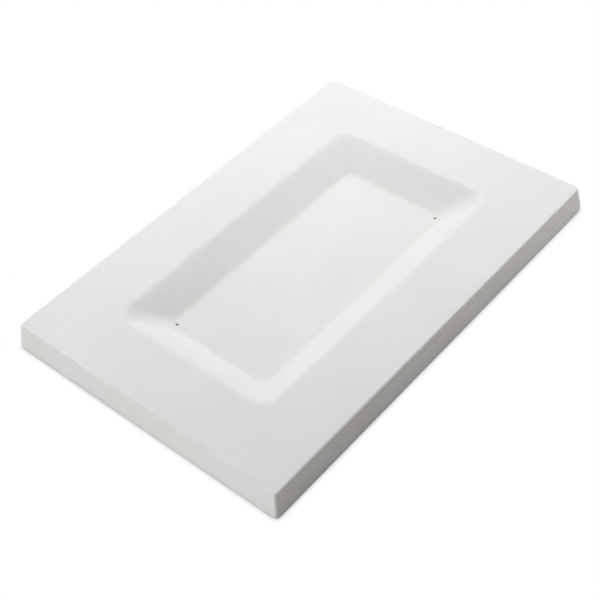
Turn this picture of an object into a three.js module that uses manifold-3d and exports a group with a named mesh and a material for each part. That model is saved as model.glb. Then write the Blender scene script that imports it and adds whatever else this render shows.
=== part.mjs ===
// Slumping mold: one thin shell of slip-cast, bisque-fired ceramic. A flat rim surrounds a shallow
// rectangular well with sloping walls, into which a softened sheet sinks in a kiln. The outside turns
// down into a short flared skirt that stands on its trimmed foot, and the underside is hollow. Two
// small vents, at opposite corners of the well's floor, let out the air under the sheet.
//
// Frame: millimetres, +Z up, origin at the centre of the footprint on the surface that it stands on.
// +X runs along the length and +Y across it.

import * as THREE from "three";
import { mergeVertices } from "three/addons/utils/BufferGeometryUtils.js";
import Module from "manifold-3d";

// ---- driving dimensions, in millimetres and radians ----

const RIM_LENGTH = 354.8; // outline of the top face, measured to its sharp edges
const RIM_WIDTH = 242.6;
const END_BAND = 48.7; // width of the rim at the two ends, out to the sharp edges
const SIDE_BAND = 50.6; // and along the two long sides
const HEIGHT = 21.5;
const RIM_CORNERS = [5, 3, 2, 5]; // outside plan radii, anticlockwise from the corner at +X+Y
const FOOT_CORNERS = [8, 6, 4, 9]; // and at the foot, where sponging has rounded them more
const SPONGED_HEIGHT = 7; // how far up from the foot the corners have been sponged
const EDGE_ROUND = 1.6; // rounding where the rim turns down into the skirt
const SIDE_FLARE = THREE.MathUtils.degToRad(6.8); // the skirt leans out towards the foot
const END_FLARE = THREE.MathUtils.degToRad(10.5); // and leans more at the two ends

const WELL_DEPTH = 16.5;
const WALL_RUN = 24.4; // how far a sloping wall reaches inwards on its way down
const WELL_CORNER_TOP = 12.5; // plan radius of the well's corners, at the rim
const WELL_CORNER_FLOOR = 8.5; // and at the floor
const LIP_ROUND = 9; // rounding between the rim and a sloping wall
const FLOOR_ROUND = 8; // rounding between a sloping wall and the floor

const SHELL = 5; // thickness of the rim, the skirt and the sloping walls
const FLOOR_LIFT = 0.5; // the floor's underside stays this far above the foot's plane
const FOOT_EDGE = 1; // sponged rounding on both edges of the foot
const INNER_CORNER = 8; // plan radius inside the skirt's corners, where slip builds up
const INNER_ROUND = 5; // rounding between the skirt and the rim, underneath

const VENT_RADIUS = 1;
const VENT_INSET = 4.4; // a vent's axis lies this far inside the floor's two sharp edges

const CORNER_STEPS = 8; // facets on each plan corner
const ROUND_STEPS = 5; // facets across each rounding
const FOOT_STEPS = 3; // and across the foot's small roundings
const SPONGED_STEPS = 3; // sections up a sponged corner
const VENT_STEPS = 16;

// ---- sizes that follow ----

const wellLength = RIM_LENGTH - 2 * END_BAND;
const wellWidth = RIM_WIDTH - 2 * SIDE_BAND;
const floorLength = wellLength - 2 * WALL_RUN;
const floorWidth = wellWidth - 2 * WALL_RUN;
const floorTop = HEIGHT - WELL_DEPTH;
const slope = Math.atan2(WELL_DEPTH, WALL_RUN); // the walls' angle above the horizontal

// ---- sections: rounded rectangles, parallel to the ground ----

// A closed outline as a list of points, anticlockwise seen from above from the corner at +X+Y. Each
// corner has a plan radius of its own.
function section(length, width, radii, z) {
  const points = [];
  const corners = [
    [1, 1],
    [-1, 1],
    [-1, -1],
    [1, -1],
  ];
  corners.forEach(([sideX, sideY], quarter) => {
    const radius = radii[quarter];
    const centreX = sideX * (length / 2 - radius);
    const centreY = sideY * (width / 2 - radius);
    for (let step = 0; step <= CORNER_STEPS; step++) {
      const turn = ((quarter + step / CORNER_STEPS) * Math.PI) / 2;
      points.push(
        new THREE.Vector3(centreX + radius * Math.cos(turn), centreY + radius * Math.sin(turn), z),
      );
    }
  });
  return points;
}

const alike = (radius) => [radius, radius, radius, radius];

// out on a long side's outer face at a height, and on a face parallel to it inside the shell.
function skirtFace(z, inwards = 0) {
  return (HEIGHT - z) * Math.tan(SIDE_FLARE) - inwards / Math.cos(SIDE_FLARE);
}

// How much further out the skirt stands at the ends than along the sides.
function endExtra(z) {
  return (HEIGHT - z) * (Math.tan(END_FLARE) - Math.tan(SIDE_FLARE));
}

// The outside, with out measured from the rim's sharp outline along the sides.
function outerSection({ out, z }) {
  const sponged = Math.max(0, 1 - z / SPONGED_HEIGHT) ** 2;
  const radii = RIM_CORNERS.map(
    (rimCorner, quarter) =>
      THREE.MathUtils.lerp(rimCorner, FOOT_CORNERS[quarter], sponged) + out - skirtFace(z),
  );
  return section(RIM_LENGTH + 2 * (out + endExtra(z)), RIM_WIDTH + 2 * out, radii, z);
}

// The inside of the skirt, where slip has built up in the corners.
function innerSection({ out, z }) {
  return section(RIM_LENGTH + 2 * (out + endExtra(z)), RIM_WIDTH + 2 * out, alike(INNER_CORNER), z);
}

// The well: out is measured outwards from the floor's sharp outline, and the corners open with it.
function wellSection({ out, z }) {
  const share = out / WALL_RUN;
  const radius = THREE.MathUtils.lerp(WELL_CORNER_FLOOR, WELL_CORNER_TOP, share);
  return section(floorLength + 2 * out, floorWidth + 2 * out, alike(radius), z);
}

// An arc of a profile, as {out, z} points, about a centre between two angles.
function arc(centre, radius, from, to, steps = ROUND_STEPS) {
  return Array.from({ length: steps + 1 }, (_, step) => {
    const angle = THREE.MathUtils.lerp(from, to, step / steps);
    return { out: centre.out + radius * Math.cos(angle), z: centre.z + radius * Math.sin(angle) };
  });
}

const UP = Math.PI / 2;
const DOWN = -Math.PI / 2;

// ---- the upper surface, from the floor out to the rim and down to the foot ----

// The floor's rounding is hollow, so its centre is above it; the lip's is crowned.
const floorRounding = arc(
  { out: -FLOOR_ROUND * Math.tan(slope / 2), z: floorTop + FLOOR_ROUND },
  FLOOR_ROUND,
  DOWN,
  DOWN + slope,
);
const lipRounding = arc(
  { out: WALL_RUN + LIP_ROUND * Math.tan(slope / 2), z: HEIGHT - LIP_ROUND },
  LIP_ROUND,
  UP + slope,
  UP,
);

const edgeRounding = arc(
  { out: skirtFace(HEIGHT - EDGE_ROUND, EDGE_ROUND), z: HEIGHT - EDGE_ROUND },
  EDGE_ROUND,
  UP,
  SIDE_FLARE,
);
const spongedFace = Array.from({ length: SPONGED_STEPS }, (_, step) => {
  const z = THREE.MathUtils.lerp(SPONGED_HEIGHT, FOOT_EDGE, step / SPONGED_STEPS);
  return { out: skirtFace(z), z };
});
const footOuterRounding = arc(
  { out: skirtFace(FOOT_EDGE, FOOT_EDGE), z: FOOT_EDGE },
  FOOT_EDGE,
  SIDE_FLARE,
  DOWN,
  FOOT_STEPS,
);

// ---- the lower surface, from the foot up inside the skirt and back to the centre ----

const ceiling = HEIGHT - SHELL;
const footInnerRounding = arc(
  { out: skirtFace(FOOT_EDGE, SHELL - FOOT_EDGE), z: FOOT_EDGE },
  FOOT_EDGE,
  DOWN,
  SIDE_FLARE - Math.PI,
  FOOT_STEPS,
);
const ceilingRounding = arc(
  { out: skirtFace(ceiling - INNER_ROUND, SHELL + INNER_ROUND), z: ceiling - INNER_ROUND },
  INNER_ROUND,
  SIDE_FLARE,
  UP,
);

// The sloping walls' underside keeps the shell's thickness, measured square to the wall.
const lowerRound = LIP_ROUND - SHELL; // the lip's rounding, seen from inside the shell
const underSlopeRounding = arc(
  { out: WALL_RUN + LIP_ROUND * Math.tan(slope / 2), z: HEIGHT - LIP_ROUND },
  lowerRound,
  UP,
  UP + slope,
);
const underFloorRound = FLOOR_ROUND + SHELL;
const underSlopeFoot = SHELL / Math.cos(slope) - (floorTop - FLOOR_LIFT); // drop below the flat underside
const underFloorRounding = arc(
  {
    out: underSlopeFoot / Math.tan(slope) - underFloorRound * Math.tan(slope / 2),
    z: FLOOR_LIFT + underFloorRound,
  },
  underFloorRound,
  DOWN + slope,
  DOWN,
);

// ---- one closed surface through all the sections ----

// Joins neighbouring sections with a band of triangles, and closes both ends to a point.
function loft(start, sections, end) {
  const points = [start, ...sections.flat(), end];
  const around = sections[0].length;
  const last = points.length - 1;
  const at = (ring, k) => 1 + ring * around + (k % around);
  const triangles = [];
  for (let k = 0; k < around; k++) {
    triangles.push(0, at(0, k), at(0, k + 1));
    for (let ring = 0; ring < sections.length - 1; ring++) {
      triangles.push(at(ring, k), at(ring + 1, k), at(ring + 1, k + 1));
      triangles.push(at(ring, k), at(ring + 1, k + 1), at(ring, k + 1));
    }
    triangles.push(last, at(sections.length - 1, k + 1), at(sections.length - 1, k));
  }
  return new THREE.BufferGeometry().setFromPoints(points).setIndex(triangles);
}

const shell = loft(
  new THREE.Vector3(0, 0, floorTop),
  [
    ...floorRounding.map(wellSection),
    ...lipRounding.map(wellSection),
    ...edgeRounding.map(outerSection),
    ...spongedFace.map(outerSection),
    ...footOuterRounding.map(outerSection),
    ...footInnerRounding.map(innerSection),
    ...ceilingRounding.map(innerSection),
    ...underSlopeRounding.map(wellSection),
    ...underFloorRounding.map(wellSection),
  ],
  new THREE.Vector3(0, 0, FLOOR_LIFT),
);

// ---- the vents, cut with manifold-3d ----

const wasm = await Module();
wasm.setup();

function toSolid(geometry) {
  const bare = new THREE.BufferGeometry()
    .setAttribute("position", geometry.getAttribute("position"))
    .setIndex(geometry.getIndex());
  const merged = mergeVertices(bare);
  return new wasm.Manifold(
    new wasm.Mesh({
      numProp: 3,
      vertProperties: merged.getAttribute("position").array,
      triVerts: new Uint32Array(merged.getIndex().array),
    }),
  );
}

function toGeometry(solid) {
  const mesh = solid.getMesh();
  const indexed = new THREE.BufferGeometry()
    .setAttribute("position", new THREE.BufferAttribute(mesh.vertProperties, 3))
    .setIndex(new THREE.BufferAttribute(mesh.triVerts, 1));
  const faceted = indexed.toNonIndexed();
  faceted.computeVertexNormals();
  return faceted;
}

// A drill through the floor, standing on the diagonal that runs from -X,+Y to +X,-Y.
function ventDrill(side) {
  const drillLength = 2 * HEIGHT;
  return new THREE.CylinderGeometry(VENT_RADIUS, VENT_RADIUS, drillLength, VENT_STEPS)
    .rotateX(Math.PI / 2)
    .translate(side * (floorLength / 2 - VENT_INSET), -side * (floorWidth / 2 - VENT_INSET), 0);
}

const drilled = [-1, 1]
  .map((side) => toSolid(ventDrill(side)))
  .reduce((body, drill) => body.subtract(drill), toSolid(shell));

// ---- the part ----

const bisque = new THREE.MeshStandardMaterial({ color: 0xebe9e6, roughness: 0.9, metalness: 0 });

const moldShell = new THREE.Mesh(toGeometry(drilled), bisque);
moldShell.name = "mold_shell";

const mold = new THREE.Group();
mold.add(moldShell);

export default mold;
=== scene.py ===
# A kiln slumping mold: one thin shell of bisque-fired ceramic, seen in a pale studio.
# The shell is lofted again on the CAD solid's dimensions, but much finer, and gets the slight
# unevenness, the rubbed edges and the porous surface of a casting. Metres, +Z up, +X along it.

import math

import bpy
import numpy as np
from mathutils import Matrix, Vector, noise


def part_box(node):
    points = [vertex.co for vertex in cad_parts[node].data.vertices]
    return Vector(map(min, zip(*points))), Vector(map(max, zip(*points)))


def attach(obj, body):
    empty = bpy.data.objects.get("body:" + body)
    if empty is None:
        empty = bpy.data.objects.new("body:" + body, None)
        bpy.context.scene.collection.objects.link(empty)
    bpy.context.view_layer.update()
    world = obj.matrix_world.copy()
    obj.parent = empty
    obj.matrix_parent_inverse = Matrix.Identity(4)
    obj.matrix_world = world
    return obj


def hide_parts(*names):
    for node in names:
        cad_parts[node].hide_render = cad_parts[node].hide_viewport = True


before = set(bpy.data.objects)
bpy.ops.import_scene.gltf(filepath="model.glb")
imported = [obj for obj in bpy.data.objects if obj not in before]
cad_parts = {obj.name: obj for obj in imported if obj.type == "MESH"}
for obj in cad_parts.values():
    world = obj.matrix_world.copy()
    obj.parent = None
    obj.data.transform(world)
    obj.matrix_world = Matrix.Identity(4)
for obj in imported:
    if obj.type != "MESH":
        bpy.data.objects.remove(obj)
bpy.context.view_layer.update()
shell_low, shell_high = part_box("mold_shell")

MM = 0.001
UP = math.pi / 2
DOWN = -math.pi / 2


# ---- the casting's dimensions ----

HEIGHT = shell_high.z
SIDE_FLARE = math.radians(6.8)
END_FLARE = math.radians(10.5)
SHELL = 5 * MM
RIM_CORNERS = np.array([5, 3, 2, 5]) * MM  # outside plan radii, anticlockwise from +X+Y
FOOT_CORNERS = np.array([8, 6, 4, 9]) * MM  # and at the foot, where sponging has rounded them
SPONGED_HEIGHT = 7 * MM  # how far up from the foot the corners have been sponged
EDGE_ROUND = 1.6 * MM
FOOT_EDGE = 1 * MM
INNER_CORNER = 8 * MM
INNER_ROUND = 5 * MM
FLOOR_LIFT = 0.5 * MM

END_BAND = 48.7 * MM  # the rim's width at the two ends
SIDE_BAND = 50.6 * MM  # and along the two long sides
WELL_DEPTH = 16.5 * MM
WALL_RUN = 24.4 * MM
WELL_CORNER_TOP = 12.5 * MM
WELL_CORNER_FLOOR = 8.5 * MM
LIP_ROUND = 9 * MM
FLOOR_ROUND = 8 * MM

VENT_RADIUS = 1 * MM
VENT_INSET = 4.4 * MM  # from the floor's sharp edges to the vent's axis
VENT_CRUMBLE = 0.6 * MM  # how far the drilled edge has crumbled away


def skirt_out(z, inwards=0.0):
    """How far a long side's outer face, or a face inside it, stands out from the rim's outline."""
    return (HEIGHT - z) * math.tan(SIDE_FLARE) - inwards / math.cos(SIDE_FLARE)


def end_extra(z):
    """How much further out the skirt stands at the two ends."""
    return (HEIGHT - z) * (math.tan(END_FLARE) - math.tan(SIDE_FLARE))


# The shell is widest at the top of the foot's rounding, and that gives the rim's sharp outline.
widest = skirt_out(FOOT_EDGE, FOOT_EDGE) + FOOT_EDGE * math.cos(SIDE_FLARE)
widest_height = FOOT_EDGE + FOOT_EDGE * math.sin(SIDE_FLARE)
rim_length = 2 * (shell_high.x - widest - end_extra(widest_height))
rim_width = 2 * (shell_high.y - widest)
floor_length = rim_length - 2 * END_BAND - 2 * WALL_RUN
floor_width = rim_width - 2 * SIDE_BAND - 2 * WALL_RUN
floor_top = HEIGHT - WELL_DEPTH
ceiling = HEIGHT - SHELL
slope = math.atan2(WELL_DEPTH, WALL_RUN)


# ---- rings: rounded rectangles that all have the same number of points ----

LONG_STEPS = 84  # along each long side of a ring
SHORT_STEPS = 56
CORNER_STEPS = 14
ROUNDING_STEPS = 9  # across each rounding of the profile, apart from the foot's
SIDES = np.array([(1, 1), (-1, 1), (-1, -1), (1, -1)])  # of the corners, anticlockwise from +X+Y


def ring(length, width, radii, z):
    """A rounded rectangle as points, anticlockwise seen from above, starting at its +X+Y corner.

    The radius is one number, or one for each corner.
    """
    corners = []
    for quarter, radius in enumerate(np.broadcast_to(radii, len(SIDES))):
        centre = SIDES[quarter] * (np.array([length, width]) / 2 - radius)
        turns = quarter * UP + np.linspace(0, UP, CORNER_STEPS + 1)
        corners.append(centre + radius * np.column_stack([np.cos(turns), np.sin(turns)]))
    outline = []
    for quarter, steps in enumerate([LONG_STEPS, SHORT_STEPS, LONG_STEPS, SHORT_STEPS]):
        start, end = corners[quarter][-1], corners[(quarter + 1) % 4][0]
        share = np.linspace(0, 1, steps + 1)[1:-1, None]
        outline += [corners[quarter], start + share * (end - start)]
    flat = np.vstack(outline)
    return np.column_stack([flat, np.full(len(flat), z)])


def outer_ring(out, z):
    sponged = max(0, 1 - z / SPONGED_HEIGHT) ** 2
    corners = RIM_CORNERS + (FOOT_CORNERS - RIM_CORNERS) * sponged + out - skirt_out(z)
    return ring(rim_length + 2 * (out + end_extra(z)), rim_width + 2 * out, corners, z)


def inner_ring(out, z):
    return ring(rim_length + 2 * (out + end_extra(z)), rim_width + 2 * out, INNER_CORNER, z)


def well_ring(out, z):
    radius = WELL_CORNER_FLOOR + (WELL_CORNER_TOP - WELL_CORNER_FLOOR) * out / WALL_RUN
    return ring(floor_length + 2 * out, floor_width + 2 * out, radius, z)


def arc(kind, centre, radius, start, end, steps=ROUNDING_STEPS):
    """Rings along an arc of the profile, about a centre given as (out, z)."""
    turns = np.linspace(start, end, steps + 1)
    return [kind(centre[0] + radius * math.cos(t), centre[1] + radius * math.sin(t)) for t in turns]


def between(first, last, steps):
    """The rings strictly between two rings, evenly spread."""
    return [first + (last - first) * step / steps for step in range(1, steps)]


CENTRE_STRIP = 2 * MM  # width of the strip that closes the floor, above and below


def towards_centre(edge, z, steps):
    """Rings from a flat's edge in to a narrow strip along its middle."""
    length, width = 2 * edge[:, 0].max(), 2 * edge[:, 1].max()
    strip = ring(length - width + CENTRE_STRIP, CENTRE_STRIP, CENTRE_STRIP / 4, z)
    return between(edge, strip, steps) + [strip]


# ---- the profile: rings from the well's floor out, down the skirt and back underneath ----

# How many steps each stretch takes, apart from the roundings.
FLAT_STEPS = 14
WALL_STEPS = 7
SKIRT_STEPS = 14
FOOT_STEPS = 5  # across each of the foot's small roundings
SOLE_STEPS = 3  # across the flat that the mold stands on


def profile():
    """(name, rings) for each stretch, in order."""
    lean = math.tan(slope / 2)
    lip_centre = (WALL_RUN + LIP_ROUND * lean, HEIGHT - LIP_ROUND)
    floor_centre = (-FLOOR_ROUND * lean, floor_top + FLOOR_ROUND)
    under_round = FLOOR_ROUND + SHELL
    drop = SHELL / math.cos(slope) - (floor_top - FLOOR_LIFT)
    under_centre = (drop / math.tan(slope) - under_round * lean, FLOOR_LIFT + under_round)
    rim_centre = (skirt_out(HEIGHT - EDGE_ROUND, EDGE_ROUND), HEIGHT - EDGE_ROUND)
    foot_out = (skirt_out(FOOT_EDGE, FOOT_EDGE), FOOT_EDGE)
    foot_in = (skirt_out(FOOT_EDGE, SHELL - FOOT_EDGE), FOOT_EDGE)
    ceiling_low = ceiling - INNER_ROUND
    ceiling_centre = (skirt_out(ceiling_low, SHELL + INNER_ROUND), ceiling_low)

    floor_edge = arc(well_ring, floor_centre, FLOOR_ROUND, DOWN, DOWN + slope)
    lip = arc(well_ring, lip_centre, LIP_ROUND, UP + slope, UP)
    rim_edge = arc(outer_ring, rim_centre, EDGE_ROUND, UP, SIDE_FLARE)
    foot_outer = arc(outer_ring, foot_out, FOOT_EDGE, SIDE_FLARE, DOWN, FOOT_STEPS)
    skirt_heights = np.linspace(rim_edge[-1][0, 2], foot_outer[0][0, 2], SKIRT_STEPS + 1)[1:-1]
    foot_inner = arc(inner_ring, foot_in, FOOT_EDGE, DOWN, SIDE_FLARE - math.pi, FOOT_STEPS)
    ceiling_edge = arc(inner_ring, ceiling_centre, INNER_ROUND, SIDE_FLARE, UP)
    under_lip = arc(well_ring, lip_centre, LIP_ROUND - SHELL, UP, UP + slope)
    under_edge = arc(well_ring, under_centre, under_round, DOWN + slope, DOWN)
    return [
        ("floor", towards_centre(floor_edge[0], floor_top, FLAT_STEPS)[::-1]),
        ("floor_edge", floor_edge),
        ("wall", between(floor_edge[-1], lip[0], WALL_STEPS)),
        ("lip", lip),
        ("rim", between(lip[-1], rim_edge[0], FLAT_STEPS)),
        ("rim_edge", rim_edge),
        ("skirt", [outer_ring(skirt_out(z), z) for z in skirt_heights]),
        ("foot_outer", foot_outer),
        ("foot", between(foot_outer[-1], foot_inner[0], SOLE_STEPS)),
        ("foot_inner", foot_inner),
        ("skirt_inside", between(foot_inner[-1], ceiling_edge[0], WALL_STEPS)),
        ("ceiling_edge", ceiling_edge),
        ("ceiling", between(ceiling_edge[-1], under_lip[0], FLAT_STEPS)),
        ("under_lip", under_lip),
        ("under_wall", between(under_lip[-1], under_edge[0], WALL_STEPS)),
        ("under_edge", under_edge),
        ("under_floor", towards_centre(under_edge[-1], FLOOR_LIFT, FLAT_STEPS)),
    ]


# ---- the casting's unevenness ----

WARP = 0.25 * MM  # the rim's dip, growing with height so that the foot stays flat
WARP_SPAN = 160 * MM
BOW = 0.25 * MM  # how far a side bows inwards
BOW_SPAN = 130 * MM
BOW_SQUASH = 0.2  # a side's bow hardly changes across the mold
LUMP = 0.22 * MM  # the drained slip's lumps, underneath only
LUMP_SPAN = 22 * MM
BOW_X_SEED, BOW_Y_SEED, WARP_SEED, LUMP_SEED = 3.1, 7.7, 11.3, 17.9


def drift(point, span, seed):
    """Smooth noise from 0 to 1 that changes over a span."""
    return 0.5 + 0.5 * noise.noise(Vector(point) / span + Vector((seed, seed, seed)))


def uneven(point, underneath):
    """Where a point of the ideal shape lies on the real casting."""
    x, y, z = point
    bow_x = 1 - BOW * drift((x * BOW_SQUASH, y, z), BOW_SPAN, BOW_X_SEED) / (rim_length / 2)
    bow_y = 1 - BOW * drift((x, y * BOW_SQUASH, z), BOW_SPAN, BOW_Y_SEED) / (rim_width / 2)
    dip = WARP * drift((x, y, 0), WARP_SPAN, WARP_SEED) * z / HEIGHT
    lump = LUMP * underneath * (drift(point, LUMP_SPAN, LUMP_SEED) - 0.5)
    return (x * bow_x, y * bow_y, max(0.0, z - dip + lump))


# ---- the mesh ----

# How much of each surface quality a stretch of the profile has, from 0 to 1.
UNDERNEATH = {
    "skirt_inside": 0.7, "ceiling_edge": 1, "ceiling": 1, "under_lip": 1, "under_wall": 1,
    "under_edge": 1, "under_floor": 1,
}
CROWNS = {"lip": 0.6, "rim_edge": 1, "foot_outer": 0.8, "foot_inner": 0.8}
HOLLOWS = {"floor_edge": 1, "ceiling_edge": 0.8, "under_edge": 0.3}
RUBBED = {"foot_outer": 0.6, "foot": 1, "foot_inner": 0.6}


def stretch_values(stretches, table, swell):
    """One value for each ring. With swell, it rises and falls again along the stretch."""
    values = []
    for name, rings in stretches:
        along = (np.arange(len(rings)) + 0.5) / len(rings)
        shape = np.sin(math.pi * along) if swell else np.ones(len(rings))
        values.append(table.get(name, 0) * shape)
    return np.concatenate(values)


def add_values(mesh, name, values):
    attribute = mesh.attributes.new(name, "FLOAT", "POINT")
    attribute.data.foreach_set("value", np.asarray(values, np.float32))


def loft_mesh(name, stretches):
    """A closed mesh of quads through the rings, with one long face at each end."""
    rings = [points for _, part in stretches for points in part]
    around = len(rings[0])
    underneath = stretch_values(stretches, UNDERNEATH, swell=False)
    points = [uneven(p, share) for row, share in zip(rings, underneath) for p in row.tolist()]
    here = np.arange(around)
    following = (here + 1) % around
    faces = [list(range(around)), list(range(len(points) - around, len(points)))[::-1]]
    for row in range(len(rings) - 1):
        low, high = row * around, (row + 1) * around
        quads = [low + here, high + here, high + following, low + following]
        faces += np.column_stack(quads).tolist()
    mesh = bpy.data.meshes.new(name)
    mesh.from_pydata(points, [], faces)
    add_values(mesh, "underneath", np.repeat(underneath, around))
    add_values(mesh, "crown", np.repeat(stretch_values(stretches, CROWNS, swell=True), around))
    add_values(mesh, "hollow", np.repeat(stretch_values(stretches, HOLLOWS, swell=True), around))
    add_values(mesh, "rubbed", np.repeat(stretch_values(stretches, RUBBED, swell=False), around))
    return mesh


def add_object(name, data):
    made = bpy.data.objects.new(name, data)
    bpy.context.scene.collection.objects.link(made)
    return made


DRILL_SIDES = 40
RAGGED_LOBES = 1.7  # how quickly the crumbling changes round a hole
CRUMBLE_MEAN = 0.75
CRUMBLE_SWING = 0.5  # noise of about -0.5 to 0.5 is multiplied by this

# How far a hole flares at each level, from bottom to top, all in units of VENT_CRUMBLE.
BOTTOM_FLARE = [(-3, 3), (0, 1.6), (1, 0.6), (2, 0)]  # (height above the underside, flare)
TOP_FLARE = [(2, 0), (1, 0.12), (0.4, 0.45), (0, 1), (-3, 3)]  # (depth below the floor, flare)


def crumbling(turn, seed):
    """How much a hole's edge has crumbled in a direction, about 0.5 to 1."""
    around = Vector((math.cos(turn) * RAGGED_LOBES, math.sin(turn) * RAGGED_LOBES, seed))
    return CRUMBLE_MEAN + CRUMBLE_SWING * noise.noise(around)


def drill(name, x, y, surface, underside):
    """A drill with a ragged flare at both ends of its hole, as a closed mesh."""
    rows = [(underside + height * VENT_CRUMBLE, flare) for height, flare in BOTTOM_FLARE]
    rows += [(surface - depth * VENT_CRUMBLE, flare) for depth, flare in TOP_FLARE]
    turns = np.arange(DRILL_SIDES) * 2 * math.pi / DRILL_SIDES
    points, faces = [], []
    for z, flare in rows:
        for turn in turns:
            radius = VENT_RADIUS + flare * VENT_CRUMBLE * crumbling(turn, x / MM)
            points.append((x + radius * math.cos(turn), y + radius * math.sin(turn), z))
    for row in range(len(rows) - 1):
        low, high = row * DRILL_SIDES, (row + 1) * DRILL_SIDES
        for here in range(DRILL_SIDES):
            following = (here + 1) % DRILL_SIDES
            faces.append((low + here, low + following, high + following, high + here))
    faces.append(list(range(DRILL_SIDES))[::-1])
    faces.append(list(range(len(points) - DRILL_SIDES, len(points))))
    mesh = bpy.data.meshes.new(name)
    mesh.from_pydata(points, [], faces)
    return add_object(name, mesh)


def cut(body, tool):
    """Takes the tool's shape out of the body, and removes the tool."""
    modifier = body.modifiers.new("cut", "BOOLEAN")
    modifier.operation = "DIFFERENCE"
    modifier.solver = "EXACT"
    modifier.object = tool
    shown = body.evaluated_get(bpy.context.evaluated_depsgraph_get())
    drilled = bpy.data.meshes.new_from_object(shown)
    body.modifiers.remove(modifier)
    body.data = drilled
    bpy.data.objects.remove(tool)


SHARP = math.radians(40)  # an edge that turns by more than this stays sharp
VENT_RISE = 0.2 * MM  # how far the floor's rounding has risen at the outer edge of a vent


def make_mold():
    mold = add_object("bisque_mold", loft_mesh("bisque_mold", profile()))
    for side in (-1, 1):
        x = side * (floor_length / 2 - VENT_INSET)
        y = -side * (floor_width / 2 - VENT_INSET)
        cut(mold, drill("vent_drill", x, y, floor_top + VENT_RISE, FLOOR_LIFT))
    mold.data.name = "bisque_mold"
    mold.data.shade_smooth()
    mold.data.set_sharp_from_angle(angle=SHARP)
    return mold


# ---- the bisque material ----


# A colour Mix node's sockets share their names with its other types', so they go by number.
MIX_SHARE, MIX_FIRST, MIX_SECOND, MIX_RESULT = 0, 6, 7, 2


class Nodes:
    """Short calls for building a node tree."""

    def __init__(self, tree):
        self.tree = tree

    def add(self, kind, inputs=None, **settings):
        """A new node. An input that is given a socket is linked to it."""
        node = self.tree.nodes.new(kind)
        for name, value in settings.items():
            setattr(node, name, value)
        for name, value in (inputs or {}).items():
            if isinstance(value, bpy.types.NodeSocket):
                self.tree.links.new(value, node.inputs[name])
            else:
                node.inputs[name].default_value = value
        return node

    def noise(self, place, size, detail=3, roughness=0.5):
        """Noise from about 0 to 1 whose features are as big as size."""
        inputs = {"Vector": place, "Scale": 1 / size, "Detail": detail, "Roughness": roughness}
        return self.add("ShaderNodeTexNoise", inputs).outputs["Fac"]

    def ramp(self, value, low, high, start=0.0, end=1.0):
        """start where the value is low or less, end where it is high or more, smooth between."""
        inputs = {"Value": value, "From Min": low, "From Max": high, "To Min": start, "To Max": end}
        node = self.add("ShaderNodeMapRange", inputs, interpolation_type="SMOOTHSTEP")
        return node.outputs["Result"]

    def maths(self, operation, first, second):
        node = self.add("ShaderNodeMath", {0: first, 1: second}, operation=operation)
        return node.outputs["Value"]

    def product(self, first, second):
        return self.maths("MULTIPLY", first, second)

    def total(self, *values):
        result = values[0]
        for value in values[1:]:
            result = self.maths("ADD", result, value)
        return result

    def mixed(self, share, first, second):
        """The first colour where share is 0 and the second where it is 1."""
        node = self.add("ShaderNodeMix", {MIX_SHARE: share}, data_type="RGBA")
        for index, value in ((MIX_FIRST, first), (MIX_SECOND, second)):
            if isinstance(value, bpy.types.NodeSocket):
                self.tree.links.new(value, node.inputs[index])
            else:
                node.inputs[index].default_value = value
        return node.outputs[MIX_RESULT]

    def attribute(self, name):
        return self.add("ShaderNodeAttribute", attribute_name=name).outputs["Fac"]


CLEAN = (0.841, 0.838, 0.832, 1)
WARM = (0.824, 0.812, 0.796, 1)
GREY = (0.8, 0.798, 0.793, 1)
RUBBED_WHITE = (0.87, 0.866, 0.856, 1)
DUSTY = (0.79, 0.775, 0.75, 1)
# the scuffed foot's colour, also used for the painted shade near the foot
SCUFF_AND_FOOT_SHADE = (0.66, 0.645, 0.62, 1)
SPECK = (0.52, 0.46, 0.39, 1)
UNDERNEATH_WARMTH = 0.5
SPECK_STRENGTH = 0.55


def bisque_colour(nodes, place):
    """Layers of colour, each mixed over the ones before it by a share that varies over the surface."""
    firing = nodes.ramp(nodes.noise(place, 70 * MM), low=0.35, high=0.65)
    patchy = nodes.noise(place, 11 * MM, detail=4, roughness=0.6)
    patches = nodes.ramp(patchy, low=0.45, high=0.8, end=0.5)
    grain = nodes.ramp(nodes.noise(place, 0.9 * MM, detail=2), low=0.3, high=0.7, end=0.35)
    wear = nodes.ramp(nodes.noise(place, 14 * MM), low=0.3, high=0.6)
    dust = nodes.ramp(nodes.noise(place, 9 * MM, detail=4), low=0.3, high=0.7, start=0.1, end=0.7)
    scuffed = nodes.noise(place, 3 * MM, detail=4)
    scuffs = nodes.ramp(scuffed, low=0.35, high=0.65, start=0.15, end=0.8)
    layers = [
        (firing, WARM),
        (patches, GREY),
        (grain, GREY),
        (nodes.product(nodes.attribute("crown"), wear), RUBBED_WHITE),
        (nodes.product(nodes.attribute("hollow"), dust), DUSTY),
        (nodes.product(nodes.attribute("underneath"), UNDERNEATH_WARMTH), WARM),
        (nodes.product(nodes.attribute("rubbed"), scuffs), SCUFF_AND_FOOT_SHADE),
        # painted shade: the skirt darkened towards the foot, where the floor shades it
        (foot_shade(nodes, place), SCUFF_AND_FOOT_SHADE),
        (specks(nodes, place), SPECK),
    ]
    colour = CLEAN
    for share, over in layers:
        colour = nodes.mixed(share, colour, over)
    return colour


FOOT_SHADE_BAND = 5 * MM  # how high the painted shade near the foot reaches up the skirt


def foot_shade(nodes, place):
    """Painted shade near the floor, strongest at the foot and fading out upwards, unevenly."""
    height = nodes.add("ShaderNodeSeparateXYZ", {"Vector": place}).outputs["Z"]
    uneven_share = nodes.noise(place, 8 * MM, detail=4)
    share = nodes.ramp(uneven_share, low=0.3, high=0.7, start=0.2, end=0.36)
    return nodes.product(nodes.ramp(height, low=0, high=FOOT_SHADE_BAND, start=1, end=0), share)


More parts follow.
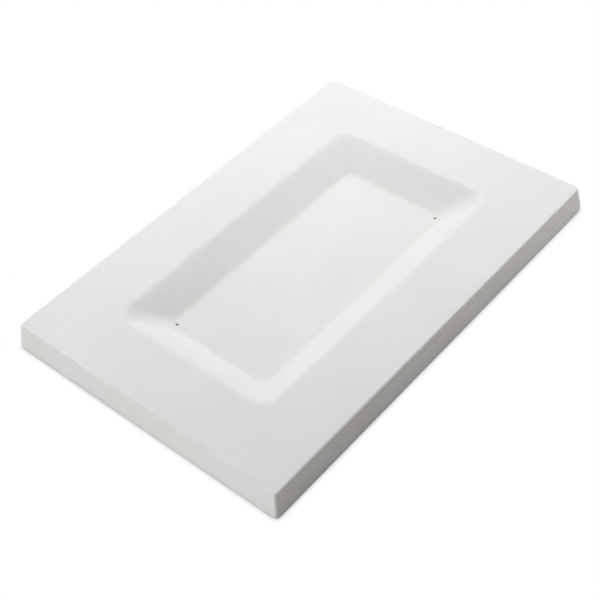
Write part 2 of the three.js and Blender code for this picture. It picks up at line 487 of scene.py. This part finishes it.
def cells(nodes, place, size):
    """Distance to the nearest of scattered points, in cells, and a random number for each point."""
    node = nodes.add("ShaderNodeTexVoronoi", {"Vector": place, "Scale": 1 / size})
    number = nodes.add("ShaderNodeSeparateColor", {"Color": node.outputs["Color"]}).outputs["Red"]
    return node.outputs["Distance"], number


FAINT_DOTS = 0.05  # the share of the points whose dots are faint


def dots(nodes, place, spacing, inner, outer, bare):
    """1 within the inner radius of scattered points and 0 beyond the outer one.

    Of the points, one share, bare, has no dot.
    """
    distance, number = cells(nodes, place, spacing)
    dot = nodes.ramp(distance, low=inner / spacing, high=outer / spacing, start=1, end=0)
    return nodes.product(dot, nodes.ramp(number, low=bare, high=bare + FAINT_DOTS))


def specks(nodes, place):
    """A few faint mineral specks, about a third of a millimetre across."""
    flecks = dots(nodes, place, spacing=9 * MM, inner=0.11 * MM, outer=0.25 * MM, bare=0.7)
    return nodes.product(flecks, SPECK_STRENGTH)


def pinholes(nodes, place):
    """Depth from 0 to 1 of the pinholes that bubbles in the slip leave."""
    return dots(nodes, place, spacing=6 * MM, inner=0.18 * MM, outer=0.36 * MM, bare=0.75)


# How high or deep each kind of relief is.
PEEL = 0.05 * MM
GRAIN = 0.03 * MM
PINHOLE = 0.15 * MM
DRAINED = 0.25 * MM  # the drained slip's surface, underneath only


def bisque_height(nodes, place):
    """The surface's relief in metres."""
    peel = nodes.product(nodes.noise(place, 5 * MM), PEEL)
    grain = nodes.product(nodes.noise(place, 0.7 * MM, detail=4, roughness=0.65), GRAIN)
    holes = nodes.product(pinholes(nodes, place), -PINHOLE)
    drained = nodes.product(nodes.noise(place, 3 * MM, detail=5, roughness=0.6), DRAINED)
    return nodes.total(peel, grain, holes, nodes.product(drained, nodes.attribute("underneath")))


SHEEN = 0.35  # a little less than Blender's usual 0.5


def make_bisque():
    material = bpy.data.materials.new("bisque")
    material.use_nodes = True
    nodes = Nodes(material.node_tree)
    shader = material.node_tree.nodes["Principled BSDF"]
    place = nodes.add("ShaderNodeTexCoord").outputs["Object"]
    links = material.node_tree.links
    links.new(bisque_colour(nodes, place), shader.inputs["Base Color"])
    matt = nodes.noise(place, 6 * MM, detail=4)
    roughness = nodes.ramp(matt, low=0.3, high=0.7, start=0.86, end=0.96)
    links.new(roughness, shader.inputs["Roughness"])
    relief = {"Height": bisque_height(nodes, place), "Distance": 1.0, "Strength": 1.0}
    links.new(nodes.add("ShaderNodeBump", relief).outputs["Normal"], shader.inputs["Normal"])
    shader.inputs["Specular IOR Level"].default_value = SHEEN
    return material


# ---- the studio ----

FLOOR_SIZE = 16  # metres
BOUNCE_DROP = 0.1 * MM  # the bounce paper lies this far under the seen paper
BOUNCE_COLOUR = (0.53, 0.5, 0.468, 1)
CONTACT = 3.6 * MM  # how far from the object its contact shadow reaches
CONTACT_FALL = 1.4  # how quickly the contact shadow fades
CONTACT_DEPTH = 0.95  # how dark it is where the object covers the paper all round
CONTACT_SAMPLES = 32


def stage_plane(name, height, material):
    """A large level sheet that is no part of the object."""
    half = FLOOR_SIZE / 2
    mesh = bpy.data.meshes.new(name)
    corners = [(side_x * half, side_y * half, height) for side_x, side_y in SIDES]
    mesh.from_pydata(corners, [], [(0, 1, 2, 3)])
    mesh.materials.append(material)
    sheet = add_object(name, mesh)
    return sheet


def seen_paper():
    """White paper that shows only the contact shadow."""
    material = bpy.data.materials.new("studio_paper")
    material.use_nodes = True
    tree = material.node_tree
    tree.nodes.remove(tree.nodes["Principled BSDF"])
    nodes = Nodes(tree)
    reach = {"Distance": CONTACT}
    occlusion = nodes.add("ShaderNodeAmbientOcclusion", reach, samples=CONTACT_SAMPLES)
    covered = nodes.maths("SUBTRACT", 1.0, occlusion.outputs["AO"])
    shadow = nodes.product(nodes.maths("POWER", covered, CONTACT_FALL), CONTACT_DEPTH)
    level = nodes.maths("SUBTRACT", 1.0, shadow)
    glow = nodes.add("ShaderNodeEmission", {"Color": (1, 1, 1, 1), "Strength": level})
    tree.links.new(glow.outputs["Emission"], tree.nodes["Material Output"].inputs["Surface"])
    return material


def bounce_paper():
    """Paper that throws light back up onto the object."""
    material = bpy.data.materials.new("studio_bounce")
    material.use_nodes = True
    shader = material.node_tree.nodes["Principled BSDF"]
    shader.inputs["Base Color"].default_value = BOUNCE_COLOUR
    shader.inputs["Roughness"].default_value = 1
    shader.inputs["Specular IOR Level"].default_value = 0
    return material


def make_floor():
    """Two papers: one that the camera sees, and one that only lights the object from below."""
    seen = stage_plane("studio_floor", 0, seen_paper())
    seen.visible_diffuse = False
    seen.visible_glossy = False
    seen.visible_transmission = False
    seen.visible_shadow = False
    bounce = stage_plane("studio_bounce", -BOUNCE_DROP, bounce_paper())
    bounce.visible_camera = False


# name, compass in degrees from +X towards +Y, elevation, distance, diameter, watts
LIGHTS = [
    ("key", 45, 65, 0.8, 0.4, 3.92),
    ("back_soft", 30, 35, 1.6, 1.0, 4.9),
    ("right_soft", 330, 35, 1.6, 1.0, 4.69),
    ("right_low", 315, 15, 0.8, 0.4, 1.32),
    ("left_soft", 150, 35, 1.6, 1.0, 5.22),
    ("left_low", 135, 15, 0.8, 0.4, 1.41),
    ("near_left_low", 195, 6, 0.6, 0.2, 0.73),
]


def make_light(name, compass, elevation, distance, diameter, watts):
    """A round soft light that shines at the mold's centre."""
    data = bpy.data.lights.new(name, "AREA")
    data.shape = "DISK"
    data.size = diameter
    data.energy = watts
    light = add_object(name, data)
    compass, elevation = math.radians(compass), math.radians(elevation)
    level = math.cos(elevation)
    towards = Vector((math.cos(compass) * level, math.sin(compass) * level, math.sin(elevation)))
    light.location = towards * distance
    light.rotation_euler = towards.to_track_quat("Z", "Y").to_euler()
    light.visible_camera = False


def make_world():
    """A white surround that the camera sees and that lights nothing."""
    world = bpy.data.worlds.new("studio")
    bpy.context.scene.world = world
    world.use_nodes = True
    background = world.node_tree.nodes["Background"]
    background.inputs["Color"].default_value = (1, 1, 1, 1)
    background.inputs["Strength"].default_value = 1
    world.cycles_visibility.diffuse = False
    world.cycles_visibility.glossy = False


# ---- the camera ----

LENS = 75  # millimetres, as is the sensor's width
SENSOR = 36
AZIMUTH = math.radians(-45.64)
ELEVATION = math.radians(45.82)
ROLL = math.radians(-5.83)
DISTANCE = 0.8869
AIM = Vector((-40 * MM, -25.4 * MM, HEIGHT))


def make_camera():
    data = bpy.data.cameras.new("camera")
    data.lens = LENS
    data.sensor_width = SENSOR
    camera = add_object("camera", data)
    level = math.cos(ELEVATION)
    back = Vector((math.sin(AZIMUTH) * level, -math.cos(AZIMUTH) * level, math.sin(ELEVATION)))
    turned = back.to_track_quat("Z", "Y").to_matrix() @ Matrix.Rotation(ROLL, 3, "Z")
    camera.matrix_world = Matrix.Translation(AIM + back * DISTANCE) @ turned.to_4x4()
    bpy.context.scene.camera = camera


# ---- the scene ----

mold = make_mold()
mold.data.materials.append(make_bisque())
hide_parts("mold_shell")
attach(mold, "root")

make_floor()
for row in LIGHTS:
    make_light(*row)
make_world()
make_camera()
bpy.context.scene.view_settings.view_transform = "Standard"
